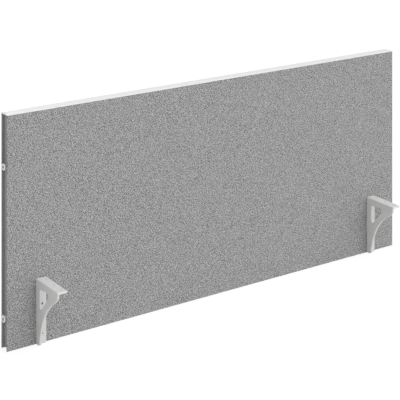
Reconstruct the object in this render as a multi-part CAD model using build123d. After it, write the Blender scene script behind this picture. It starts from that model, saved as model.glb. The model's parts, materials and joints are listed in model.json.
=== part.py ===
from build123d import *
import os

# Upholstered desk screen: a padded panel in a metal frame, carried by two brackets.
# X runs along the panel, Y through its thickness (the desk and the front are on the
# -Y side), Z up. The origin is the middle of the underside of the panel.
# Millimetres.

# ---------------------------------------------------------------- modelling allowances
PAST = 1.0               # cutting bodies run this far past the stock
JOIN = 0.5               # overlap of bodies that are fused
FIT = 0.05               # fine fitting gap

# ---------------------------------------------------------------- panel
LENGTH = 1200.0
HEIGHT = 550.0
THICK = 30.0
CAP_T = 2.0              # plate of the top profile
BASE_T = 2.0             # plate of the bottom profile
FABRIC_T = 1.0
PAD_T_GAP = 0.2          # gap at the rims of the pads and round the core
CORE_T = 18.0            # particle board core
CORE_END_GAP = 0.5       # core to end channel
FABRIC_EDGE_R = 0.6
CAP_EDGE_R = 0.5

# end channels (one extrusion, open outwards)
GROOVE_D = 9.0           # depth of the open groove
GROOVE_ROOT_R = 0.8
LIP_T = 1.5              # side walls of the groove and of the chamber
FLOOR_T = 2.0            # floor of the groove
SLOT_W = 8.6             # opening of the T-slot in the floor
CHAMBER_D = 6.0          # T-slot chamber
CHAMBER_W = 14.0
BACK_T = 1.5             # wall behind the chamber
NOTCH_GAP = 0.4          # back wall notch beyond the key box

# hollow boxes for the corner keys, on the top and bottom profiles
BOX_W = 18.0
BOX_H = 14.0
BOX_WALL = 1.5
BOX_END_GAP = 0.2        # box ends short of the core's ends
BASE_NOTCH_GAP = 0.2     # bottom plate to the sides of the chamber

# planes: X from the middle, Y from the middle, Z from the underside
X_END = LENGTH / 2
Y_FACE = THICK / 2                    # outer fabric face
Y_PAD = Y_FACE - FABRIC_T             # inside of the fabric
Y_LIP = Y_PAD - FIT                   # outside of the channel lips and the pads
Y_CORE = CORE_T / 2
Y_CHAMBER = CHAMBER_W / 2             # inside of the T-slot chamber
Y_CHAMBER_OUT = Y_CHAMBER + LIP_T     # outside of the T-slot chamber
Z_CAP = HEIGHT - CAP_T                # underside of the cap plate
FLOOR_BACK = GROOVE_D + FLOOR_T       # depths into the panel from its end
CHAMBER_BACK = FLOOR_BACK + CHAMBER_D
CHANNEL_BACK = CHAMBER_BACK + BACK_T
X_CORE = X_END - CHANNEL_BACK - CORE_END_GAP
X_BOX = X_CORE - BOX_END_GAP
X_PAD = X_END - FLOOR_BACK - PAD_T_GAP
Z_BOX_TOP = Z_CAP - BOX_H             # underside of the upper key box
Z_BOX_BOT = BASE_T + BOX_H            # top of the lower key box

# ---------------------------------------------------------------- corner keys
KEY_W = 13.6
KEY_LEG_V = 42.0         # leg in the end channel
KEY_LEG_H = 45.0         # leg in the top or bottom profile
KEY_T = 5.5
KEY_END_GAP = 0.4        # key to the plane of the cap plate or the panel's underside
KEY_BOX_GAP = 0.2        # horizontal leg to the box walls
KEY_X = -X_END + FLOOR_BACK + 0.25    # outer face of the vertical leg, left key
GRUB_OFFSETS = (32.0, 22.5)           # grub screws from the key's outer end
GRUB_R = 2.5
GRUB_HOLE_R = 2.56
GRUB_RECESS = 0.3        # outer end below the leg's face
GRUB_INNER_GAP = 0.1     # inner end short of the leg's back
GRUB_HEX = 2.5           # socket across flats
GRUB_HEX_END = 2.5       # bottom of the socket from the leg's face

# ---------------------------------------------------------------- linking studs
STUD_Z = {"upper": 426.0, "lower": 72.0}
STUD_HEAD_R = 8.0
STUD_HEAD_T = 4.5
STUD_RIM_R = 1.0
STUD_UNDER_R = 0.4
STUD_PROUD = 3.0         # head face beyond the end of the panel
STUD_R = 4.0
STUD_HOLE_R = 4.06
STUD_TIP_GAP = 0.4       # tip to the back of the chamber
STUD_DISH_R = 5.2
STUD_DISH_D = 0.6
STUD_HEX = 5.0           # socket across flats
STUD_HEX_D = 3.6
SPACER_R = 6.0
SPACER_BORE_R = STUD_HOLE_R + 0.1
SPACER_HEAD_GAP = 0.02
NUT_W = 13.5
NUT_H = 13.0
NUT_T = 4.8
NUT_CORNER_R = 1.2
NUT_GAP = 0.15           # nut to the back of the groove floor
HEAD_FACE_X = -X_END - STUD_PROUD
HEAD_UNDER_X = HEAD_FACE_X + STUD_HEAD_T

# ---------------------------------------------------------------- brackets
# "reach" is the distance out from the panel's front face, towards -Y.
BRACKET_X = {"left": -524.5, "right": 504.5}   # -X side of each web
BR_H = 154.0             # underside flush with the panel
BR_REACH = 106.0         # desk flange
WEB_T = 5.0
WEB_REACH = BR_REACH - 1.0
BACK_W = 24.0            # flange on the panel
BACK_FLANGE_T = 5.0
TOP_W = 27.0             # desk flange
TOP_T = 4.0
TOP_ROUND_R = 2.5        # round the upper side of the desk flange
Z_TOP_UNDER = BR_H - TOP_T
Z_WEB_TOP = BR_H - TOP_ROUND_R - 0.5  # web and panel flange end inside the desk flange
WEB_EDGE_R = 1.2         # -X side of the web
CURVE_EDGE_R = 0.6       # +X side of the web's curved edge
FLANGE_CORNER_R = 3.0
CASTING_R = 2.5          # inside corners

# outlines as (reach, z)
WEB_CURVE = [
    (WEB_REACH, 140.5), (97.9, 132.0), (88.4, 124.4), (74.0, 114.4),
    (63.0, 105.4), (52.5, 94.0), (42.5, 80.4), (34.5, 66.6),
    (28.2, 52.6), (23.4, 38.4), (19.6, 23.6), (17.4, 9.0),
]
WEB_CURVE_TANGENTS = [(0, 0.6, -1), (0, 0.12, -1)]
WEB_FOOT = [WEB_CURVE[-1], (15.0, 2.6), (8.6, 0.0)]
WEB_BACK = [WEB_FOOT[-1], (0.0, 0.0), (0.0, Z_WEB_TOP), (WEB_REACH, Z_WEB_TOP), WEB_CURVE[0]]
WINDOW = [(18.5, 81.8), (18.5, 134.0), (72.3, 139.9)]
WINDOW_RADII = [4.5, 5.0, 8.35]
WINDOW_RIMS = ((0.0, 1.2), (WEB_T, 0.8))       # (x of the web side, rim radius)
# zone that holds only the window's rim edges
RIM_REACH = (18.0, 62.0)
RIM_Z = (82.0, 140.0)

DESK_HOLE_X = 16.0       # from the -X side of the web
DESK_HOLE_REACHES = (20.0, 56.0, 92.0)
DESK_HOLE_R = 2.5

# bracket fasteners, M6 countersunk
SCREW_X = 12.5           # from the -X side of the web
SCREW_Z = (24.5, 94.0)
M6_R = 3.0
M6_CLEAR_R = 3.3
M6_HEAD_R = 5.8
M6_HEAD_H = 2.9
M6_HEAD_SINK = 0.15      # head face below the flange's face
M6_LEN = 24.0
M6_HEX = 4.0             # socket across flats
M6_HEX_END = 2.6         # bottom of the socket from the flange's face
SINK_R = M6_HEAD_R + 0.15
SINK_D = M6_HEAD_H + 0.1
INSERT_R = 4.5
INSERT_L = 13.0
INSERT_BORE_R = 3.06
INSERT_END_GAP = 1.0     # core hole deeper than the insert
BUSH_R = 6.0
BUSH_HOLE_R = BUSH_R + 0.1
BUSH_END_GAP = 0.02
SCREW_FACE_Y = -Y_FACE - BACK_FLANGE_T         # front of the panel flange


# ---------------------------------------------------------------- helpers
def block(x0, x1, y0, y1, z0, z1):
    return Pos((x0 + x1) / 2, (y0 + y1) / 2, (z0 + z1) / 2) * Box(
        abs(x1 - x0), abs(y1 - y0), abs(z1 - z0))


def rod_x(x0, x1, z, radius):
    """Cylinder along X, in the middle of the panel's thickness."""
    return Pos((x0 + x1) / 2, 0, z) * Rot(0, 90, 0) * Cylinder(radius, x1 - x0)


def rod_y(x, y0, y1, z, radius):
    return Pos(x, (y0 + y1) / 2, z) * Rot(90, 0, 0) * Cylinder(radius, y1 - y0)


def rod_z(x, y, z0, z1, radius):
    return Pos(x, y, (z0 + z1) / 2) * Cylinder(radius, z1 - z0)


def cone_y(x, y, z, start_radius, end_radius, height):
    """Cone from y towards +Y."""
    return Pos(x, y, z) * Rot(-90, 0, 0) * Pos(0, 0, height / 2) * Cone(
        start_radius, end_radius, height)


def hex_prism(across, length):
    return extrude(RegularPolygon(across / 2, 6, major_radius=False), length)


def hex_x(x0, x1, z, across):
    return Pos(x0, 0, z) * Rot(0, 90, 0) * hex_prism(across, x1 - x0)


def hex_y(x, y0, y1, z, across):
    return Pos(x, y1, z) * Rot(90, 0, 0) * hex_prism(across, y1 - y0)


def one(shape):
    """The only solid of a shape."""
    solids = shape.solids()
    assert len(solids) == 1, len(solids)
    return solids[0]


def mirror_x(shape):
    return one(mirror(shape, about=Plane.YZ))


def near(value, target, tolerance=0.01):
    return abs(value - target) < tolerance


def save(name, shape):
    shape.label = name
    export_step(shape, os.path.join("parts", name + ".step"))


def save_group(name, solids):
    save(name, Compound(children=solids))


def save_pair(pattern, left):
    """Save a left-hand piece and its mirror image; {} in the name is the side."""
    save(pattern.format("left"), left)
    save(pattern.format("right"), mirror_x(left))


# ---------------------------------------------------------------- panel layers
def cut_screw_holes(body, y0, y1, radius):
    """Cut a hole at each bracket screw."""
    for web_x in BRACKET_X.values():
        for z in SCREW_Z:
            body -= rod_y(web_x + SCREW_X, y0, y1, z, radius)
    return body


def core_board():
    body = block(-X_CORE, X_CORE, -Y_CORE, Y_CORE,
                 Z_BOX_BOT + PAD_T_GAP, Z_BOX_TOP - PAD_T_GAP)
    return one(cut_screw_holes(body, -Y_CORE - PAST, -Y_CORE + INSERT_L + INSERT_END_GAP,
                               INSERT_R + FIT))


def acoustic_pad(side):
    body = block(-X_PAD, X_PAD, side * (Y_CORE + FIT), side * Y_LIP,
                 BASE_T + PAD_T_GAP, Z_CAP - PAD_T_GAP)
    if side < 0:
        body = cut_screw_holes(body, -Y_FACE - PAST, -Y_CORE + PAST, BUSH_HOLE_R)
    return one(body)


def fabric_cover(side):
    body = block(-X_END, X_END, side * Y_PAD, side * Y_FACE, 0, Z_CAP - FIT)
    # soft edges all round the outer face
    body = fillet([e for e in body.edges() if near(abs(e.center().Y), Y_FACE)],
                  FABRIC_EDGE_R)
    if side < 0:
        body = cut_screw_holes(body, -Y_FACE - PAST, -Y_PAD + PAST, BUSH_HOLE_R)
    return one(body)


# ---------------------------------------------------------------- profiles
def key_box(z0, z1, hollow_z0, hollow_z1):
    """Box along X, open at both ends."""
    body = block(-X_BOX, X_BOX, -BOX_W / 2, BOX_W / 2, z0, z1)
    return body - block(-X_BOX - PAST, X_BOX + PAST, -BOX_W / 2 + BOX_WALL,
                        BOX_W / 2 - BOX_WALL, hollow_z0, hollow_z1)


def top_profile():
    """Full-length plate with a shorter key box below it."""
    plate = block(-X_END, X_END, -Y_FACE, Y_FACE, Z_CAP, HEIGHT)
    plate = fillet([e for e in plate.edges() if near(e.center().Z, HEIGHT)], CAP_EDGE_R)
    return one(plate + key_box(Z_BOX_TOP, Z_CAP + JOIN, Z_BOX_TOP + BOX_WALL, Z_CAP))


def bottom_profile():
    """Plate between the end channels, notched round their chambers, with a key box."""
    plate = block(-X_PAD, X_PAD, -Y_LIP, Y_LIP, 0, BASE_T)
    notch_y = Y_CHAMBER_OUT + BASE_NOTCH_GAP
    for side in (-1, 1):
        plate -= block(side * X_BOX, side * (X_END + PAST), -notch_y, notch_y,
                       -PAST, BASE_T + PAST)
    return one(plate + key_box(BASE_T - JOIN, Z_BOX_BOT, BASE_T, Z_BOX_BOT - BOX_WALL))


def end_channel():
    """Left channel: outward groove, T-slot in its floor, back notched for the keys."""
    z_top = Z_CAP - FIT
    floor_back_x = -X_END + FLOOR_BACK
    chamber_back_x = -X_END + CHAMBER_BACK
    back_x = -X_END + CHANNEL_BACK
    cut_z = (-PAST, Z_CAP + PAST)
    groove_y = Y_LIP - LIP_T
    body = block(-X_END, floor_back_x, -Y_LIP, Y_LIP, 0, z_top)
    body += block(floor_back_x - JOIN, back_x, -Y_CHAMBER_OUT, Y_CHAMBER_OUT, 0, z_top)
    body -= block(-X_END - PAST, -X_END + GROOVE_D, -groove_y, groove_y, *cut_z)
    body -= block(-X_END + GROOVE_D - PAST, floor_back_x + PAST,
                  -SLOT_W / 2, SLOT_W / 2, *cut_z)
    body -= block(floor_back_x, chamber_back_x, -Y_CHAMBER, Y_CHAMBER, *cut_z)
    for z0, z1 in ((-PAST, Z_BOX_BOT + NOTCH_GAP), (Z_BOX_TOP - NOTCH_GAP, Z_CAP + PAST)):
        body -= block(chamber_back_x - PAST, back_x + PAST, -Y_CHAMBER, Y_CHAMBER, z0, z1)
    # soft corners where the groove walls meet the floor
    roots = [e for e in body.edges().filter_by(Axis.Z)
             if near(e.center().X, -X_END + GROOVE_D)
             and near(abs(e.center().Y), groove_y)]
    return one(fillet(roots, GROOVE_ROOT_R))


# ---------------------------------------------------------------- corner keys
def corner_key(z_out, up, leg_z, hole_zs):
    """Left key; up is the Z direction of the vertical leg from its outer end z_out."""
    z0, z1 = sorted((z_out, z_out + up * KEY_LEG_V))
    body = block(KEY_X, KEY_X + KEY_T, -KEY_W / 2, KEY_W / 2, z0, z1)
    body += block(KEY_X, KEY_X + KEY_LEG_H, -KEY_W / 2, KEY_W / 2, *leg_z)
    for z in hole_zs:
        body -= rod_x(KEY_X - PAST, KEY_X + KEY_T + PAST, z, GRUB_HOLE_R)
    return one(body)


def grub_screw(z):
    body = rod_x(KEY_X + GRUB_RECESS, KEY_X + KEY_T - GRUB_INNER_GAP, z, GRUB_R)
    return one(body - hex_x(KEY_X - PAST, KEY_X + GRUB_HEX_END, z, GRUB_HEX))


# ---------------------------------------------------------------- linking studs
def link_stud(z):
    head = rod_x(HEAD_FACE_X, HEAD_UNDER_X, z, STUD_HEAD_R)
    head = fillet([e for e in head.edges() if near(e.center().X, HEAD_FACE_X)], STUD_RIM_R)
    head = fillet([e for e in head.edges() if near(e.center().X, HEAD_UNDER_X)
                   and e.geom_type == GeomType.CIRCLE], STUD_UNDER_R)
    body = head + rod_x(HEAD_UNDER_X - JOIN, -X_END + CHAMBER_BACK - STUD_TIP_GAP, z, STUD_R)
    # dished face round a hexagonal socket
    body -= rod_x(HEAD_FACE_X - PAST, HEAD_FACE_X + STUD_DISH_D, z, STUD_DISH_R)
    body -= hex_x(HEAD_FACE_X - PAST, HEAD_FACE_X + STUD_HEX_D, z, STUD_HEX)
    return one(body)


def link_spacer(z):
    """Sleeve between the stud's head and the groove floor."""
    floor_x = -X_END + GROOVE_D
    body = rod_x(HEAD_UNDER_X + SPACER_HEAD_GAP, floor_x - FIT, z, SPACER_R)
    return one(body - rod_x(HEAD_UNDER_X - PAST, floor_x + PAST, z, SPACER_BORE_R))


def slot_nut(z):
    x0 = -X_END + FLOOR_BACK + NUT_GAP
    body = block(x0, x0 + NUT_T, -NUT_W / 2, NUT_W / 2, z - NUT_H / 2, z + NUT_H / 2)
    body = fillet(body.edges().filter_by(Axis.X), NUT_CORNER_R)
    return one(body - rod_x(x0 - PAST, x0 + NUT_T + PAST, z, STUD_HOLE_R))


# ---------------------------------------------------------------- brackets
def outline(points):
    """(reach, z) points placed in the plane x = 0."""
    return [(0.0, -Y_FACE - reach, z) for reach, z in points]


def extent(edge):
    """Least and greatest x, reach and z of an edge."""
    b = edge.bounding_box()
    return b.min.X, b.max.X, -Y_FACE - b.max.Y, -Y_FACE - b.min.Y, b.min.Z, b.max.Z


def lies_at(edge, x=None, reach=None, z=None):
    """True if the whole edge lies at each of the given coordinates."""
    ends = extent(edge)
    return all(near(end, target, 0.03)
               for axis, target in enumerate((x, reach, z)) if target is not None
               for end in ends[2 * axis:2 * axis + 2])


def web():
    curve = Spline(*outline(WEB_CURVE), tangents=WEB_CURVE_TANGENTS)
    foot = ThreePointArc(*outline(WEB_FOOT))
    rest = Polyline(*outline(WEB_BACK))
    face = make_face([*curve.edges(), *foot.edges(), *rest.edges()])
    body = extrude(face, WEB_T, dir=(1, 0, 0))
    # -X side, except along the panel and under the desk flange
    return fillet([e for e in body.edges() if lies_at(e, x=0)
                   and extent(e)[3] > 1 and extent(e)[4] < Z_WEB_TOP - 1], WEB_EDGE_R)


def panel_flange():
    body = block(2, BACK_W, -Y_FACE - BACK_FLANGE_T, -Y_FACE, 0, Z_WEB_TOP)
    # lower corner away from the web
    return fillet([e for e in body.edges().filter_by(Axis.Y)
                   if near(e.center().Z, 0, 0.03) and e.center().X > 3], FLANGE_CORNER_R)


def desk_flange():
    body = block(0, TOP_W, -Y_FACE - BR_REACH, -Y_FACE, Z_TOP_UNDER, BR_H)

    def tips():
        return [e for e in body.edges().filter_by(Axis.Z)
                if e.center().Y < -Y_FACE - BR_REACH + 1]
    body = fillet([e for e in tips() if e.center().X > 1], FLANGE_CORNER_R)
    body = fillet([e for e in tips() if near(e.center().X, 0, 0.03)], WEB_EDGE_R)
    # upper side, except along the panel
    return fillet([e for e in body.edges() if lies_at(e, z=BR_H) and extent(e)[3] > 1],
                  TOP_ROUND_R)


def window_cutter():
    face = make_face(Polyline(*outline(WINDOW), close=True).edges())
    body = Pos(-5, 0, 0) * extrude(face, WEB_T + 10, dir=(1, 0, 0))
    for (reach, z), radius in reversed(list(zip(WINDOW, WINDOW_RADII))):
        corner = [e for e in body.edges().filter_by(Axis.X)
                  if near(e.center().Y, -Y_FACE - reach, 0.1)
                  and near(e.center().Z, z, 0.1)]
        body = fillet(corner, radius)
    return body


def on_window_rim(edge, x):
    _, _, reach0, reach1, z0, z1 = extent(edge)
    return (lies_at(edge, x=x) and reach0 > RIM_REACH[0] and reach1 < RIM_REACH[1]
            and z0 > RIM_Z[0] and z1 < RIM_Z[1])


def bracket():
    """Bracket with the -X side of its web at x = 0."""
    body = web() + panel_flange() + desk_flange()

    # casting radii between web and panel flange, web and desk flange, and both flanges
    inner = [e for e in body.edges()
             if (lies_at(e, x=WEB_T, reach=BACK_FLANGE_T) and extent(e)[4] < Z_TOP_UNDER - 1)
             or lies_at(e, x=WEB_T, z=Z_TOP_UNDER)
             or lies_at(e, reach=BACK_FLANGE_T, z=Z_TOP_UNDER)]
    body = fillet(inner, CASTING_R)

    body -= window_cutter()
    for x, radius in WINDOW_RIMS:
        body = fillet([e for e in body.edges() if on_window_rim(e, x)], radius)

    # +X side of the curved edge, found by its lower end
    foot_reach, foot_z = WEB_CURVE[-1]
    body = fillet([e for e in body.edges() if lies_at(e, x=WEB_T)
                   and near(extent(e)[2], foot_reach, 0.03)
                   and near(extent(e)[4], foot_z, 0.03)], CURVE_EDGE_R)

    for reach in DESK_HOLE_REACHES:
        body -= rod_z(DESK_HOLE_X, -Y_FACE - reach, Z_TOP_UNDER - PAST, BR_H + PAST,
                      DESK_HOLE_R)
    for z in SCREW_Z:
        body -= rod_y(SCREW_X, SCREW_FACE_Y - PAST, -Y_FACE + PAST, z, M6_CLEAR_R)
        body -= cone_y(SCREW_X, SCREW_FACE_Y, z, SINK_R, M6_CLEAR_R, SINK_D)
    return one(body)


def countersunk_screw(x, z):
    y = SCREW_FACE_Y
    body = cone_y(x, y + M6_HEAD_SINK, z, M6_HEAD_R, M6_R, M6_HEAD_H)
    body += rod_y(x, y + M6_HEAD_H, y + M6_LEN, z, M6_R)
    return one(body - hex_y(x, y - PAST, y + M6_HEX_END, z, M6_HEX))


def insert(x, z):
    """Sleeve in the core board."""
    body = rod_y(x, -Y_CORE, -Y_CORE + INSERT_L, z, INSERT_R)
    return one(body - rod_y(x, -Y_CORE - PAST, -Y_CORE + INSERT_L + PAST, z, INSERT_BORE_R))


def bush(x, z):
    """Sleeve through the front fabric and pad."""
    body = rod_y(x, -Y_FACE + BUSH_END_GAP, -Y_CORE - BUSH_END_GAP, z, BUSH_R)
    return one(body - rod_y(x, -Y_FACE - PAST, -Y_CORE + PAST, z, M6_CLEAR_R))


# ---------------------------------------------------------------- build
os.makedirs("parts", exist_ok=True)

save("core_board", core_board())
for word, side in (("front", -1), ("rear", 1)):
    save(word + "_acoustic_pad", acoustic_pad(side))
    save(word + "_fabric_cover", fabric_cover(side))
save("top_profile", top_profile())
save("bottom_profile", bottom_profile())
save_pair("{}_end_channel", end_channel())

# word, outer end, direction of the vertical leg, z range of the horizontal leg
KEYS = (
    ("upper", Z_CAP - KEY_END_GAP, -1,
     (Z_BOX_TOP + BOX_WALL + KEY_BOX_GAP, Z_CAP - KEY_END_GAP)),
    ("lower", KEY_END_GAP, 1,
     (BASE_T + KEY_BOX_GAP, Z_BOX_BOT - BOX_WALL - KEY_BOX_GAP)),
)
grubs = []
for word, z_out, up, leg_z in KEYS:
    hole_zs = [z_out + up * offset for offset in GRUB_OFFSETS]
    save_pair("corner_key_" + word + "_{}", corner_key(z_out, up, leg_z, hole_zs))
    grubs += [grub_screw(z) for z in hole_zs]
save_group("key_grub_screws_left", grubs)
save_group("key_grub_screws_right", [mirror_x(grub) for grub in grubs])

for word, z in STUD_Z.items():
    for make in (link_stud, link_spacer, slot_nut):
        save_pair("{}_" + word + "_" + make.__name__, make(z))

blank = bracket()
for side, web_x in BRACKET_X.items():
    save(side + "_bracket", one(Pos(web_x, 0, 0) * blank))
    for word, make in (("screws", countersunk_screw), ("inserts", insert), ("bushes", bush)):
        save_group(side + "_bracket_" + word, [make(web_x + SCREW_X, z) for z in SCREW_Z])
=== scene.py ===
import json
import math

import bpy
import numpy as np
from mathutils import Matrix, Vector

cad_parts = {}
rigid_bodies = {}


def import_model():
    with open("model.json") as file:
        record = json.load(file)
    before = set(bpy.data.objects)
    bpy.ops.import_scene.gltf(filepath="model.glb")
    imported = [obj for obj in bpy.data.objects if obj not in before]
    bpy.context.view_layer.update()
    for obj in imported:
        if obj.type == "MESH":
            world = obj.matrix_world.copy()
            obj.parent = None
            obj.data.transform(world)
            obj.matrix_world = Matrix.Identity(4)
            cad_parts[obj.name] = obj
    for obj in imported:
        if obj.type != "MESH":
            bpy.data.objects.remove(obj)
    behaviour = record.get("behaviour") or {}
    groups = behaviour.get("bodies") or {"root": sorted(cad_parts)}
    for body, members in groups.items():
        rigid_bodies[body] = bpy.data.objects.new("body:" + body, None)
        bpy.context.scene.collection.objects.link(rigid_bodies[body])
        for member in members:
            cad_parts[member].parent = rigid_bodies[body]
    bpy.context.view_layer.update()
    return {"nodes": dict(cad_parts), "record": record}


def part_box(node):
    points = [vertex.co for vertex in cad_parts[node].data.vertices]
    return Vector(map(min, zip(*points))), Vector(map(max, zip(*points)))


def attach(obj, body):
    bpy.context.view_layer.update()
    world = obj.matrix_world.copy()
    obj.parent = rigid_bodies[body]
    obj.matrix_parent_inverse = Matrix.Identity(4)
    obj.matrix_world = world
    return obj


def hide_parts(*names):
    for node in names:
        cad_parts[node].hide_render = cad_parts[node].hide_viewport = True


for o in list(bpy.data.objects):
    bpy.data.objects.remove(o, do_unlink=True)

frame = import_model()
scene = bpy.context.scene
nodes = frame["nodes"]
MM = 0.001


# ------------------------------------------------------------------ helpers
class Graph:
    """Small helper for writing node trees."""

    def __init__(self, name):
        self.mat = bpy.data.materials.new(name)
        self.mat.use_nodes = True
        self.t = self.mat.node_tree
        self.bsdf = self.t.nodes["Principled BSDF"]
        tc = self.t.nodes.new("ShaderNodeTexCoord")
        sc = self.t.nodes.new("ShaderNodeVectorMath")
        sc.operation = "SCALE"
        sc.inputs["Scale"].default_value = 1000.0
        self.t.links.new(tc.outputs["Object"], sc.inputs[0])
        self.p = sc.outputs[0]          # position in millimetres
        self._xyz = None

    def link(self, a, b):
        self.t.links.new(a, b)

    def _in(self, socket, value):
        if hasattr(value, "is_linked") or hasattr(value, "links"):
            self.link(value, socket)
        else:
            socket.default_value = value

    def xyz(self):
        if self._xyz is None:
            n = self.t.nodes.new("ShaderNodeSeparateXYZ")
            self.link(self.p, n.inputs[0])
            self._xyz = n.outputs
        return self._xyz

    def m(self, op, a, b=0.0, c=None, clamp=False):
        n = self.t.nodes.new("ShaderNodeMath")
        n.operation = op
        n.use_clamp = clamp
        self._in(n.inputs[0], a)
        self._in(n.inputs[1], b)
        if c is not None:
            self._in(n.inputs[2], c)
        return n.outputs[0]

    def vec(self, x, y, z):
        n = self.t.nodes.new("ShaderNodeCombineXYZ")
        for i, v in enumerate((x, y, z)):
            self._in(n.inputs[i], v)
        return n.outputs[0]

    def vscale(self, v, s):
        n = self.t.nodes.new("ShaderNodeVectorMath")
        n.operation = "MULTIPLY"
        self.link(v, n.inputs[0])
        n.inputs[1].default_value = s
        return n.outputs[0]

    def vadd(self, a, b):
        n = self.t.nodes.new("ShaderNodeVectorMath")
        n.operation = "ADD"
        self._in(n.inputs[0], a)
        self._in(n.inputs[1], b)
        return n.outputs[0]

    def noise(self, v, scale=1.0, detail=2.0, rough=0.5, dist=0.0, color=False):
        n = self.t.nodes.new("ShaderNodeTexNoise")
        n.noise_dimensions = "3D"
        self.link(v, n.inputs["Vector"])
        n.inputs["Scale"].default_value = scale
        n.inputs["Detail"].default_value = detail
        n.inputs["Roughness"].default_value = rough
        n.inputs["Distortion"].default_value = dist
        return n.outputs["Color" if color else "Fac"]

    def white(self, v):
        n = self.t.nodes.new("ShaderNodeTexWhiteNoise")
        n.noise_dimensions = "3D"
        self.link(v, n.inputs["Vector"])
        return n.outputs["Value"]

    def remap(self, v, a, b, c, d, clamp=True):
        n = self.t.nodes.new("ShaderNodeMapRange")
        n.clamp = clamp
        self._in(n.inputs[0], v)
        for i, x in enumerate((a, b, c, d)):
            self._in(n.inputs[i + 1], x)
        return n.outputs[0]

    def mixf(self, f, a, b):
        n = self.t.nodes.new("ShaderNodeMix")
        n.data_type = "FLOAT"
        self._in(n.inputs[0], f)
        self._in(n.inputs[2], a)
        self._in(n.inputs[3], b)
        return n.outputs[0]

    def mixc(self, f, a, b, mode="MIX"):
        n = self.t.nodes.new("ShaderNodeMix")
        n.data_type = "RGBA"
        n.blend_type = mode
        self._in(n.inputs[0], f)
        for k, v in ((6, a), (7, b)):
            if isinstance(v, (tuple, list)):
                v = (*v[:3], 1.0)
            self._in(n.inputs[k], v)
        return n.outputs[2]

    def grey(self, v, tint=(1, 1, 1)):
        n = self.t.nodes.new("ShaderNodeCombineColor")
        for i in range(3):
            self._in(n.inputs[i], self.m("MULTIPLY", v, tint[i]))
        return n.outputs[0]

    def bump(self, height, dist_mm, strength=1.0, under=None):
        n = self.t.nodes.new("ShaderNodeBump")
        n.inputs["Strength"].default_value = strength
        n.inputs["Distance"].default_value = dist_mm * MM
        self.link(height, n.inputs["Height"])
        if under is not None:
            self.link(under, n.inputs["Normal"])
        return n.outputs["Normal"]

    def out(self, color=None, rough=None, metal=None, normal=None, **plain):
        if color is not None:
            if isinstance(color, (tuple, list)):
                color = (*color[:3], 1.0)
            self._in(self.bsdf.inputs["Base Color"], color)
        if rough is not None:
            self._in(self.bsdf.inputs["Roughness"], rough)
        if metal is not None:
            self._in(self.bsdf.inputs["Metallic"], metal)
        if normal is not None:
            self.link(normal, self.bsdf.inputs["Normal"])
        for k, v in plain.items():
            self.bsdf.inputs[k.replace("_", " ")].default_value = v
        return self.mat


def paint(obj, mat):
    obj.data.materials.clear()
    obj.data.materials.append(mat)


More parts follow.
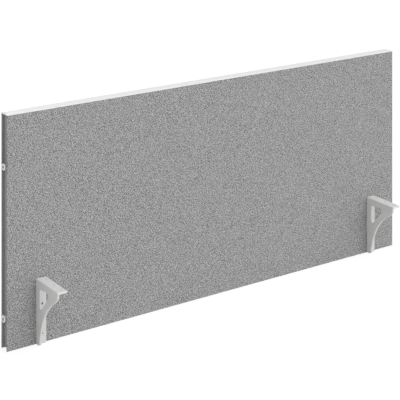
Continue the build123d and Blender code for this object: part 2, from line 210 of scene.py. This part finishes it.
# ---------------------------------------------------------------- materials
def fabric_material(name, base=0.281):
    """Grey melange upholstery: basket weave of paired, flecked yarns."""
    g = Graph(name)
    pitch = 2.07                                    # one pair of yarns
    wob = g.noise(g.p, 0.05, 2, 0.5, color=True)
    wob = g.vadd(wob, (-0.5, -0.5, -0.5))
    q = g.vadd(g.p, g.vscale(wob, (1.2, 0.0, 1.2)))
    hair = g.vadd(g.noise(g.p, 0.9, 2, 0.6, color=True), (-0.5, -0.5, -0.5))
    q = g.vadd(q, g.vscale(hair, (0.42, 0.0, 0.42)))
    sep = g.t.nodes.new("ShaderNodeSeparateXYZ")
    g.link(q, sep.inputs[0])
    u = g.m("DIVIDE", sep.outputs[0], pitch)
    v = g.m("DIVIDE", sep.outputs[2], pitch)
    iu, iv = g.m("FLOOR", u), g.m("FLOOR", v)
    ju = g.m("FLOOR", g.m("MULTIPLY", u, 2.0))
    jv = g.m("FLOOR", g.m("MULTIPLY", v, 2.0))
    su = g.m("SINE", g.m("MULTIPLY", u, math.pi))
    sv = g.m("SINE", g.m("MULTIPLY", v, math.pi))
    over = g.m("GREATER_THAN", g.m("MULTIPLY", su, sv), 0.0)   # warp on top
    au, av = g.m("ABSOLUTE", su), g.m("ABSOLUTE", sv)
    au2 = g.m("ABSOLUTE", g.m("SINE", g.m("MULTIPLY", u, math.tau)))
    av2 = g.m("ABSOLUTE", g.m("SINE", g.m("MULTIPLY", v, math.tau)))

    def yarn(across, across2, along):
        ridge = g.m("ADD", g.m("MULTIPLY", g.m("POWER", across, 0.45), 0.6),
                    g.m("MULTIPLY", g.m("POWER", across2, 0.6), 0.4))
        return g.m("MULTIPLY", ridge,
                   g.m("MULTIPLY_ADD", g.m("POWER", along, 0.6), 0.62, 0.38))
    height = g.mixf(over, yarn(av, av2, au), yarn(au, au2, av))
    # each yarn is two plies twisted round each other
    tw = g.m("SINE", g.m("MULTIPLY", g.m("ADD", g.m("MULTIPLY", u, 1.8),
                                         g.m("MULTIPLY", v, 2.6)), math.tau))
    tf = g.m("SINE", g.m("MULTIPLY", g.m("ADD", g.m("MULTIPLY", v, 1.8),
                                         g.m("MULTIPLY", u, 2.6)), math.tau))
    ply = g.mixf(over, tf, tw)
    # fibres run along each yarn, a little askew
    warp_xyz = g.vec(g.m("MULTIPLY_ADD", v, 2.6, g.m("MULTIPLY", u, 13.0)),
                     g.m("MULTIPLY", v, 1.6), 3.7)
    weft_xyz = g.vec(g.m("MULTIPLY", u, 1.6),
                     g.m("MULTIPLY_ADD", u, 2.6, g.m("MULTIPLY", v, 13.0)), 91.3)
    fw = g.noise(warp_xyz, 1.0, 3, 0.7)
    ff = g.noise(weft_xyz, 1.0, 3, 0.7)
    fleck = g.mixf(over, ff, fw)

    # melange: every crossing has its own grey, unlike its neighbours
    def cell(dx, dz):
        return g.white(g.vec(g.m("ADD", iu, dx), g.m("ADD", iv, dz), 7.0))
    near = g.m("ADD", g.m("ADD", cell(1, 0), cell(-1, 0)),
               g.m("ADD", cell(0, 1), cell(0, -1)))
    mel = g.m("SUBTRACT", cell(0, 0), 0.5)
    mel = g.m("SUBTRACT", mel, g.m("MULTIPLY", g.m("SUBTRACT", near, 2.0), 0.16))
    one = g.mixf(over, g.white(g.vec(iu, jv, 2.0)), g.white(g.vec(ju, iv, 5.0)))
    nub = g.noise(g.p, 0.8, 1, 0.5)
    cloud = g.noise(g.p, 0.012, 2, 0.5)
    k = g.m("MULTIPLY_ADD", g.m("SUBTRACT", fleck, 0.5), 1.5, 1.0)
    k = g.m("ADD", k, g.m("MULTIPLY", mel, 1.05))
    k = g.m("ADD", k, g.m("MULTIPLY", g.m("SUBTRACT", one, 0.5), 0.85))
    k = g.m("ADD", k, g.m("MULTIPLY", ply, 0.05))
    k = g.m("ADD", k, g.m("MULTIPLY", g.m("SUBTRACT", nub, 0.5), 0.6))
    k = g.m("ADD", k, g.m("MULTIPLY", g.m("SUBTRACT", cloud, 0.5), 0.03))
    # painted shade: the colour darkens where the yarns dip into the gaps of the
    # weave
    yarn_gap_shade = g.m("MULTIPLY_ADD", height, 0.85, 0.42)
    k = g.m("MULTIPLY", k, yarn_gap_shade)
    val = g.m("MULTIPLY", k, base)
    val = g.m("MAXIMUM", val, 0.03)
    h = g.m("ADD", g.m("MULTIPLY", height, 1.0),
            g.m("ADD", g.m("MULTIPLY", ply, 0.06),
                g.m("MULTIPLY", fleck, 0.40)))
    h = g.m("ADD", h, g.m("MULTIPLY", nub, 0.5))
    n = g.bump(h, 0.34, 1.0)
    rough = g.remap(fleck, 0.2, 0.8, 0.95, 0.82)
    return g.out(g.grey(val, (1.0, 1.0, 1.0)), rough, 0.0, n,
                 Sheen_Weight=0.12, Sheen_Roughness=0.45,
                 Specular_IOR_Level=0.15)


def powder_material(name, base, rough=0.42, grain=1.0, tint=(1, 1, 1)):
    """Powder coat: orange peel, faint mottling and rubbed-in dust."""
    g = Graph(name)
    peel = g.noise(g.p, 0.9 * grain, 2, 0.5)
    fine = g.noise(g.p, 3.5 * grain, 2, 0.6)
    mott = g.noise(g.p, 0.035, 3, 0.55)
    speck = g.noise(g.p, 2.2, 1, 0.5)
    k = g.m("MULTIPLY_ADD", g.m("SUBTRACT", mott, 0.5), 0.10, 1.0)
    k = g.m("ADD", k, g.m("MULTIPLY", g.m("SUBTRACT", speck, 0.5), 0.06))
    col = g.grey(g.m("MULTIPLY", k, base), tint)
    r = g.m("MULTIPLY_ADD", g.m("SUBTRACT", peel, 0.5), 0.12, rough)
    h = g.m("ADD", g.m("MULTIPLY", peel, 0.8), g.m("MULTIPLY", fine, 0.35))
    n = g.bump(h, 0.05, 1.0)
    return g.out(col, r, 0.0, n, Specular_IOR_Level=0.45)


def extrusion_material(name, base, rough=0.36, axis="z", metal=0.85,
                       lip_shade_y=None):
    """Anodised extrusion with fine die lines along its length."""
    g = Graph(name)
    s = {"z": (2.6, 2.6, 0.004), "x": (0.004, 2.6, 2.6)}[axis]
    s2 = {"z": (0.55, 0.55, 0.002), "x": (0.002, 0.55, 0.55)}[axis]
    line = g.noise(g.vscale(g.p, s), 1.0, 3, 0.65)
    wide = g.noise(g.vscale(g.p, s2), 1.0, 2, 0.5)
    mott = g.noise(g.p, 0.05, 3, 0.5)
    k = g.m("MULTIPLY_ADD", g.m("SUBTRACT", line, 0.5), 0.34, 1.0)
    k = g.m("ADD", k, g.m("MULTIPLY", g.m("SUBTRACT", wide, 0.5), 0.18))
    k = g.m("ADD", k, g.m("MULTIPLY", g.m("SUBTRACT", mott, 0.5), 0.10))
    if lip_shade_y:                                  # painted shade along the lip edges, standing in for the shadow gap where the cloth meets the channel
        y = g.m("ABSOLUTE", g.xyz()[1])
        lip_shade_wobble = g.noise(g.p, 0.25, 3, 0.6)
        # painted shade: past this |y| the lip edges are darkened, with a noisy
        # border
        edge = g.remap(g.m("ADD", y, g.m("MULTIPLY", lip_shade_wobble, 0.5)),
                       lip_shade_y, lip_shade_y + 0.35, 1.0, 0.42)
        k = g.m("MULTIPLY", k, edge)
    r = g.m("MULTIPLY_ADD", g.m("SUBTRACT", line, 0.5), 0.30, rough)
    n = g.bump(line, 0.02, 1.0)
    return g.out(g.grey(g.m("MULTIPLY", k, base), (1.0, 1.0, 1.0)), r, metal, n)


def plated_material(name, base, rough=0.3, tint=(1, 1, 1), metal=1.0,
                    head=None):
    """Zinc plating: fine crystals and turning marks.

    head = (socket radius, dish radius, rim radius, centres): paints shade into the
    driving socket and the turned dish of the stud heads, which lie in YZ."""
    g = Graph(name)
    mott = g.noise(g.p, 0.6, 3, 0.6)
    fine = g.noise(g.p, 5.0, 2, 0.6)
    k = g.m("MULTIPLY_ADD", g.m("SUBTRACT", mott, 0.5), 0.22, 1.0)
    h = g.m("ADD", fine, g.m("MULTIPLY", mott, 0.5))
    r = g.m("MULTIPLY_ADD", g.m("SUBTRACT", fine, 0.5), 0.25, rough)
    if head:
        socket, dish, split, high, low = head
        _, y, z = g.xyz()[0], g.xyz()[1], g.xyz()[2]
        up = g.m("GREATER_THAN", z, split)
        dz = g.m("SUBTRACT", z, g.mixf(up, low, high))
        rad = g.m("SQRT", g.m("ADD", g.m("MULTIPLY", y, y),
                              g.m("MULTIPLY", dz, dz)))
        # painted shade: the turned dish and the socket are darkened as if shaded
        k = g.m("MULTIPLY", k, g.remap(rad, dish - 0.15, dish + 0.15, 0.55, 1.0))
        k = g.m("MULTIPLY", k, g.remap(rad, socket, socket + 0.25, 0.25, 1.0))
        turn = g.m("SINE", g.m("MULTIPLY", rad, 26.0))       # lathe rings
        h = g.m("ADD", h, g.m("MULTIPLY", turn, 0.45))
        r = g.m("ADD", r, g.remap(rad, dish - 0.2, dish + 0.2, 0.12, 0.0))
    n = g.bump(h, 0.02, 1.0)
    return g.out(g.grey(g.m("MULTIPLY", k, base), tint), r, metal, n)


def painted_screw_material(name, base, tint=(1, 1, 1)):
    """Screw heads coated like the bracket, with painted shade filling the socket.
    """
    g = Graph(name)
    peel = g.noise(g.p, 1.6, 2, 0.5)
    mott = g.noise(g.p, 0.5, 3, 0.6)
    x, _, z = g.xyz()[0], g.xyz()[1], g.xyz()[2]
    dx = g.m("SUBTRACT", x, g.mixf(g.m("GREATER_THAN", x, 0.0), SCREW_X[0],
                                   SCREW_X[1]))
    up = g.m("GREATER_THAN", z, (SCREW_Z[0] + SCREW_Z[1]) / 2)
    dz = g.m("SUBTRACT", z, g.mixf(up, SCREW_Z[0], SCREW_Z[1]))
    rad = g.m("SQRT", g.m("ADD", g.m("MULTIPLY", dx, dx),
                          g.m("MULTIPLY", dz, dz)))
    # painted shade: the socket is filled with near-black, darker on the upper
    # screws than on the lower
    socket_shade_mask = g.remap(g.m("SUBTRACT", rad, g.mixf(up, 0.2, 0.5)), 2.25, 2.45,
                   1.0, 0.0)
    k = g.m("MULTIPLY_ADD", g.m("SUBTRACT", mott, 0.5), 0.12, base)
    socket_shade = g.m("MULTIPLY_ADD", mott, 0.02, g.mixf(up, 0.06, 0.010))
    r = g.mixf(socket_shade_mask, 0.42, 0.6)
    h = g.m("ADD", peel, g.m("MULTIPLY", g.m("SINE", g.m("MULTIPLY", rad, 18.0)),
                             0.2))
    return g.out(g.grey(g.mixf(socket_shade_mask, k, socket_shade), tint), r, 0.0,
                 g.bump(h, 0.03, 1.0), Specular_IOR_Level=0.4)


def board_material(name):
    """Raw particle board: pressed chips."""
    g = Graph(name)
    vor = g.t.nodes.new("ShaderNodeTexVoronoi")
    g.link(g.vscale(g.p, (0.35, 0.9, 0.35)), vor.inputs["Vector"])
    vor.inputs["Scale"].default_value = 1.0
    chip = g.white(vor.outputs["Position"])
    grain = g.noise(g.p, 1.2, 4, 0.7)
    k = g.m("ADD", g.m("MULTIPLY", chip, 0.35), g.m("MULTIPLY", grain, 0.5))
    col = g.mixc(k, (0.30, 0.20, 0.11), (0.62, 0.47, 0.30))
    n = g.bump(g.m("ADD", vor.outputs["Distance"], grain), 0.15, 1.0)
    return g.out(col, 0.85, 0.0, n)


def foam_material(name):
    """Open-cell acoustic foam."""
    g = Graph(name)
    vor = g.t.nodes.new("ShaderNodeTexVoronoi")
    g.link(g.p, vor.inputs["Vector"])
    vor.inputs["Scale"].default_value = 1.3
    d = vor.outputs["Distance"]
    col = g.grey(g.m("MULTIPLY_ADD", d, 0.10, 0.07))
    return g.out(col, 0.95, 0.0, g.bump(d, 0.4, 1.0))


def nylon_material(name, base=0.03):
    g = Graph(name)
    a = g.noise(g.p, 1.4, 3, 0.6)
    return g.out(g.grey(g.m("MULTIPLY_ADD", a, 0.03, base)), 0.5, 0.0,
                 g.bump(a, 0.05, 1.0))


# places of the screw and stud heads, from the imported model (mm)
def centre(node, axis):
    lo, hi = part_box(node)
    return (lo[axis] + hi[axis]) / 2 * 1000


def span(node, axis):
    lo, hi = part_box(node)
    return lo[axis] * 1000, hi[axis] * 1000


SCREW_X = [centre("left_bracket_screws", 0), centre("right_bracket_screws", 0)]
z_lo, z_hi = span("left_bracket_screws", 2)
SCREW_Z = [z_lo + 5.8, z_hi - 5.8]                 # heads are 11.6 across
STUD_Z = [centre("left_lower_link_stud", 2), centre("left_upper_link_stud", 2)]

M = {
    "fabric": fabric_material("upholstery_melange"),
    "foam": foam_material("acoustic_foam"),
    "board": board_material("particle_board"),
    "white_profile": powder_material("white_powder_coat", 0.68, 0.50, 1.2),
    "channel_aluminium": extrusion_material("anodised_extrusion", 0.385, 0.48,
                                            metal=0.25, lip_shade_y=12.55),
    "base_aluminium": extrusion_material("anodised_extrusion_long", 0.42, axis="x"),
    "key_zinc": plated_material("zinc_casting", 0.45, 0.4),
    "screw_steel": plated_material("zinc_plated_steel", 0.50, 0.32),
    "stud_steel": plated_material(
        "bright_zinc_steel", 0.86, 0.34, metal=0.6,
        head=(2.55, 5.25, sum(STUD_Z) / 2, STUD_Z[1], STUD_Z[0])),
    "bracket_screw": painted_screw_material("coated_screw", 0.54,
                                            (1.0, 1.0, 0.99)),
    "bracket_grey": powder_material("grey_powder_coat", 0.56, 0.42, 1.0,
                                    (1.0, 1.0, 0.99)),
    "insert_brass": plated_material("brass", 0.8, 0.3, (0.9, 0.68, 0.32)),
    "bush_plastic": nylon_material("black_nylon"),
}
slot_of = {s["node"]: s["material_slot"] for s in frame["record"]["subparts"]}
for name, obj in nodes.items():
    key = slot_of.get(name, "bracket_grey")
    if name == "bottom_profile":
        key = "base_aluminium"
    if name.endswith("bracket_screws"):
        key = "bracket_screw"
    paint(obj, M[key])


# ------------------------------------------------------------- upholstery
def lines(lo, hi, step, edge):
    """Grid lines between lo and hi, closer together at both ends."""
    n = max(2, int(round((hi - lo) / step)))
    body = np.linspace(lo, hi, n + 1)
    near = np.array(edge)
    vals = np.concatenate([lo + near, hi - near, body])
    vals = np.unique(np.round(vals, 6))
    keep = [vals[0]]
    for v in vals[1:]:
        if v - keep[-1] > 1e-5:
            keep.append(v)
    return np.array(keep)


def smooth_noise(x, z, seed, wave, amp):
    """Sum of a few seeded sine sheets: a smooth, repeatable unevenness."""
    rng = np.random.RandomState(seed)
    out = np.zeros_like(x)
    for _ in range(14):
        a = rng.uniform(0, math.tau)
        w = wave * rng.uniform(0.6, 1.7)
        out += np.sin((x * math.cos(a) + z * math.sin(a)) * math.tau / w
                      + rng.uniform(0, math.tau))
    return out * amp / math.sqrt(14)


def cloth_cover(name, node, sign, press=()):
    """Upholstery sheet: rolled edges, slight unevenness, dips at brackets."""
    lo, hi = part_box(node)
    outer = lo.y if sign < 0 else hi.y
    inner = hi.y if sign < 0 else lo.y
    r = 0.9 * MM
    edge = [0.0, 0.06 * r, 0.2 * r, 0.42 * r, 0.7 * r, r, 1.6 * r]
    xs = lines(lo.x, hi.x, 4.0 * MM, edge)
    zs = lines(lo.z, hi.z, 4.0 * MM, edge)
    X, Z = np.meshgrid(xs, zs, indexing="ij")
    d = np.minimum.reduce([X - lo.x, hi.x - X, Z - lo.z, hi.z - Z])
    t = np.clip(d / r, 0, 1)
    roll = r * (1 - np.sqrt(np.clip(1 - (1 - t) ** 2, 0, 1)))
    fade = np.clip(d / (14 * MM), 0, 1)
    fade = fade * fade * (3 - 2 * fade)
    dip = np.zeros_like(X)
    dip += 0.09 * MM + smooth_noise(X, Z, 7 if sign < 0 else 11, 0.16, 0.035 * MM)
    dip += smooth_noise(X, Z, 3 if sign < 0 else 5, 0.045, 0.012 * MM)
    dip = np.clip(dip, 0, 0.4 * MM) * fade
    for x0, x1, z0, z1, depth, reach in press:
        dx = np.maximum(np.maximum(x0 - X, X - x1), 0)
        dz = np.maximum(np.maximum(z0 - Z, Z - z1), 0)
        q = np.clip(1 - np.hypot(dx, dz) / reach, 0, 1)
        dip = np.maximum(dip, depth * q * q * (3 - 2 * q))
    off = roll + dip
    Y = outer - np.sign(outer) * off
    nx, nz = X.shape
    verts = np.stack([X, Y, Z], -1).reshape(-1, 3)
    # back sheet: only its border ring, closed with one row of long faces
    ids = np.arange(nx * nz).reshape(nx, nz)
    q = np.stack([ids[:-1, :-1], ids[1:, :-1], ids[1:, 1:], ids[:-1, 1:]], -1)
    faces = q.reshape(-1, 4).tolist()
    ring = np.concatenate([ids[:, 0], ids[-1, 1:], ids[-2::-1, -1],
                           ids[0, -2:0:-1]])
    base = len(verts)
    back = verts[ring].copy()
    back[:, 1] = inner
    verts = np.concatenate([verts, back])
    n = len(ring)
    for i in range(n):
        j = (i + 1) % n
        faces.append([int(ring[j]), int(ring[i]), base + i, base + j])
    # flat back: columns between the lower and the upper border
    low = list(range(0, nx))
    up_start = nx + nz - 1
    top = [base + up_start + k for k in range(0, nx - 1)]
    # border order: bottom row (0..nx-1), right column, top row reversed, left
    bottom = [base + k for k in range(nx)]
    topr = [base + (nx - 1) + (nz - 1) + k for k in range(nx)]
    topr = topr[::-1]
    right = [base + (nx - 1) + k for k in range(nz)]
    left = [base] + [base + n - k for k in range(1, nz)]
    for i in range(nx - 1):
        if i == 0:
            poly = [bottom[1], bottom[0]] + left[1:] + [topr[1]]
            faces.append(poly)
        elif i == nx - 2:
            poly = [bottom[nx - 2]] + [topr[nx - 2]] + right[::-1]
            faces.append(poly)
        else:
            faces.append([bottom[i + 1], bottom[i], topr[i], topr[i + 1]])
    me = bpy.data.meshes.new(name)
    me.from_pydata([tuple(v) for v in verts], [], faces)
    me.validate()
    me.update()
    ob = bpy.data.objects.new(name, me)
    scene.collection.objects.link(ob)
    import bmesh
    bm = bmesh.new()
    bm.from_mesh(me)
    bmesh.ops.recalc_face_normals(bm, faces=bm.faces)
    bm.to_mesh(me)
    bm.free()
    me.polygons.foreach_set("use_smooth", [True] * len(me.polygons))
    me.set_sharp_from_angle(angle=math.radians(50))
    paint(ob, M["fabric"])
    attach(ob, "panel")
    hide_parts(node)
    return ob


press = []
for s in ("left", "right"):
    b_lo, b_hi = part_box(s + "_bracket")
    press.append((b_lo.x + 0.5 * MM, b_lo.x + 23.5 * MM, b_lo.z,
                  b_hi.z - 0.5 * MM, 0.5 * MM, 9 * MM))
cloth_cover("front_upholstery", "front_fabric_cover", -1, press)
cloth_cover("rear_upholstery", "rear_fabric_cover", 1)


# ------------------------------------------------------------- foam pads
def foam_pad(name, node):
    """Foam slab with softly rounded edges and an uneven cut face."""
    lo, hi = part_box(node)
    n = (60, 2, 28)
    pts, faces, index = [], [], {}

    def vid(p):
        key = tuple(round(c, 7) for c in p)
        if key not in index:
            index[key] = len(pts)
            pts.append(p)
        return index[key]
    for ax in range(3):
        u, v = [a for a in range(3) if a != ax]
        for side in (0, 1):
            for i in range(n[u]):
                for j in range(n[v]):
                    quad = []
                    for a, b in ((0, 0), (1, 0), (1, 1), (0, 1)):
                        p = [0.0, 0.0, 0.0]
                        p[ax] = lo[ax] if side == 0 else hi[ax]
                        p[u] = lo[u] + (hi[u] - lo[u]) * (i + a) / n[u]
                        p[v] = lo[v] + (hi[v] - lo[v]) * (j + b) / n[v]
                        quad.append(vid(p))
                    if (side == 1) != (ax == 1):
                        quad = quad[::-1]
                    faces.append(quad[::-1])
    pts = np.array(pts)
    c = (np.array(lo) + np.array(hi)) / 2
    # pull the border rows in a little, as compressed foam does
    for ax, reach in ((0, 12 * MM), (2, 12 * MM)):
        d = np.minimum(pts[:, ax] - lo[ax], hi[ax] - pts[:, ax])
        k = np.clip(1 - d / reach, 0, 1) ** 2
        pts[:, 1] = c[1] + (pts[:, 1] - c[1]) * (1 - 0.25 * k)
    me = bpy.data.meshes.new(name)
    me.from_pydata([tuple(p) for p in pts], [], faces)
    me.update()
    import bmesh
    bm = bmesh.new()
    bm.from_mesh(me)
    bmesh.ops.recalc_face_normals(bm, faces=bm.faces)
    bm.to_mesh(me)
    bm.free()
    ob = bpy.data.objects.new(name, me)
    scene.collection.objects.link(ob)
    me.polygons.foreach_set("use_smooth", [True] * len(me.polygons))
    me.set_sharp_from_angle(angle=math.radians(40))
    paint(ob, M["foam"])
    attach(ob, "panel")
    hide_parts(node)
    return ob


foam_pad("front_foam", "front_acoustic_pad")
foam_pad("rear_foam", "rear_acoustic_pad")

# ------------------------------------------------------------------ stage
bpy.ops.mesh.primitive_plane_add(size=40, location=(0, 0, -0.0006))
floor = bpy.context.object
floor.name = "studio_floor"
gf = Graph("studio_floor_paint")
soft = gf.noise(gf.p, 0.002, 2, 0.5)
gf.out(gf.grey(gf.m("MULTIPLY_ADD", soft, 0.01, 0.82)), 0.9, 0.0)
# seen directly, the floor is nearly even white with a faint contact shadow
path = gf.t.nodes.new("ShaderNodeLightPath")
glow = gf.t.nodes.new("ShaderNodeEmission")
glow.inputs["Color"].default_value = (1, 1, 1, 1)
glow.inputs["Strength"].default_value = 1.04
both = gf.t.nodes.new("ShaderNodeMixShader")
gf.link(gf.m("MULTIPLY", path.outputs["Is Camera Ray"], 0.8), both.inputs[0])
gf.link(gf.bsdf.outputs[0], both.inputs[1])
gf.link(glow.outputs[0], both.inputs[2])
gf.link(both.outputs[0], gf.t.nodes["Material Output"].inputs["Surface"])
paint(floor, gf.mat)

world = bpy.data.worlds.new("studio")
scene.world = world
world.use_nodes = True
wt = world.node_tree
bg = wt.nodes["Background"]
geo = wt.nodes.new("ShaderNodeTexCoord")
sepw = wt.nodes.new("ShaderNodeSeparateXYZ")
wt.links.new(geo.outputs["Generated"], sepw.inputs[0])
ramp = wt.nodes.new("ShaderNodeMapRange")
wt.links.new(sepw.outputs[0], ramp.inputs[0])
ramp.inputs[1].default_value = -1.0
ramp.inputs[2].default_value = 1.0
ramp.inputs[3].default_value = 0.68
ramp.inputs[4].default_value = 1.46
front = wt.nodes.new("ShaderNodeMapRange")
front.interpolation_type = "SMOOTHSTEP"
wt.links.new(sepw.outputs[1], front.inputs[0])
front.inputs[1].default_value = -0.6
front.inputs[2].default_value = 0.6
front.inputs[3].default_value = 1.04
front.inputs[4].default_value = 0.40
level = wt.nodes.new("ShaderNodeMath")
level.operation = "MULTIPLY"
wt.links.new(ramp.outputs[0], level.inputs[0])
wt.links.new(front.outputs[0], level.inputs[1])
# seen directly, the room is the same even white as the floor
seen = wt.nodes.new("ShaderNodeMix")
seen.data_type = "FLOAT"
eye = wt.nodes.new("ShaderNodeLightPath")
wt.links.new(eye.outputs["Is Camera Ray"], seen.inputs[0])
wt.links.new(level.outputs[0], seen.inputs[2])
seen.inputs[3].default_value = 1.02
cmb = wt.nodes.new("ShaderNodeCombineColor")
for i in range(3):
    wt.links.new(seen.outputs[0], cmb.inputs[i])
wt.links.new(cmb.outputs[0], bg.inputs["Color"])
bg.inputs["Strength"].default_value = 1.0


def sun(name, toward, angle, strength):
    data = bpy.data.lights.new(name, "SUN")
    data.angle = math.radians(angle)
    data.energy = strength
    ob = bpy.data.objects.new(name, data)
    scene.collection.objects.link(ob)
    ob.location = Vector(toward) * 4
    ob.rotation_euler = Vector(toward).to_track_quat("Z", "Y").to_euler()
    return ob


sun("key", (0.60, -0.34, 0.76), 50, 0.95)
sun("top", (-0.10, -0.30, 1.0), 70, 0.70)
# level light on the rear face only: it grazes the floor and the top profile
sun("back", (0.25, 1.0, 0.02), 20, 1.6)

scene.view_settings.view_transform = "Standard"
scene.view_settings.look = "None"
# keep the weave crisp: the noise filter takes the surface colour as it is
scene.cycles.denoising_prefilter = "NONE"

# ----------------------------------------------------------------- camera
CAM = (-1.96792, -2.82146, 1.38282)
cam_data = bpy.data.cameras.new("camera")
cam = bpy.data.objects.new("camera", cam_data)
scene.collection.objects.link(cam)
scene.camera = cam
cam_data.sensor_width = 36.0
cam_data.lens = 1331.34 / 400 * 36.0
cam.location = CAM
cam.rotation_euler = (math.radians(90), 0, -0.598938)
cam_data.clip_start, cam_data.clip_end = 0.05, 100
# the lens shift belongs to this standpoint only, so it is off anywhere else
for path, value in (("shift_x", (200 - 201.95) / 400),
                    ("shift_y", (-243.797 - 200) / 400)):
    drv = cam_data.driver_add(path).driver
    drv.type = "SCRIPTED"
    var = drv.variables.new()
    var.name = "px"
    var.type = "TRANSFORMS"
    var.targets[0].id = cam
    var.targets[0].transform_type = "LOC_X"
    var.targets[0].transform_space = "WORLD_SPACE"
    drv.expression = "%.6f if abs(px - (%.5f)) < 0.0005 else 0.0" % (value, CAM[0])

bpy.context.view_layer.update()
